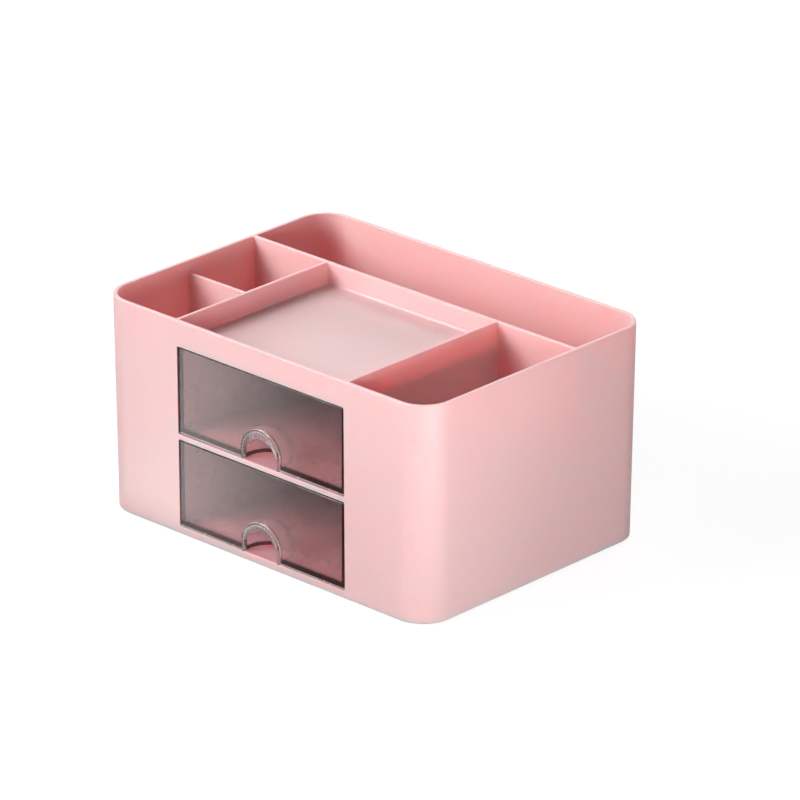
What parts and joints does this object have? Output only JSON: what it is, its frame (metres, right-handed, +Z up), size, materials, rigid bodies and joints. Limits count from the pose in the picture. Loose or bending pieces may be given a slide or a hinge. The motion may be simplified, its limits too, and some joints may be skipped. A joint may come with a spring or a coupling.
{
  "type": "makeup storage case with drawers",
  "caption": "Open-top makeup storage case: rear trough, side compartments, shallow tray, and stacked see-through drawers pulled by a clear finger scoop.",
  "frame": {"origin": "on the table, under the middle of the case", "axes": "+X to the right as seen from the drawer side, +Y to the back, +Z up"},
  "size_m": [0.24, 0.175, 0.125],
  "materials": {
    "case_plastic": "satin pink moulded plastic",
    "drawer_plastic": "clear smoke-tinted plastic, polished",
    "pull_plastic": "clear plastic, polished",
    "pad_rubber": "matt pale anti-slip rubber"
  },
  "bodies": {
    "case": {"outer_case": "case_plastic", "foot_pad_front_left": "pad_rubber", "foot_pad_front_right": "pad_rubber", "foot_pad_rear_left": "pad_rubber", "foot_pad_rear_right": "pad_rubber"},
    "upper_drawer": {"upper_drawer_tub": "drawer_plastic", "upper_drawer_front": "drawer_plastic", "upper_finger_pull": "pull_plastic"},
    "lower_drawer": {"lower_drawer_tub": "drawer_plastic", "lower_drawer_front": "drawer_plastic", "lower_finger_pull": "pull_plastic"}
  },
  "joints": [
    {"name": "upper_drawer_slide", "type": "slide", "parent": "case", "child": "upper_drawer", "axis": [0, -1, 0], "range_m": [0, 0.09]},
    {"name": "lower_drawer_slide", "type": "slide", "parent": "case", "child": "lower_drawer", "axis": [0, -1, 0], "range_m": [0, 0.09]}
  ]
}
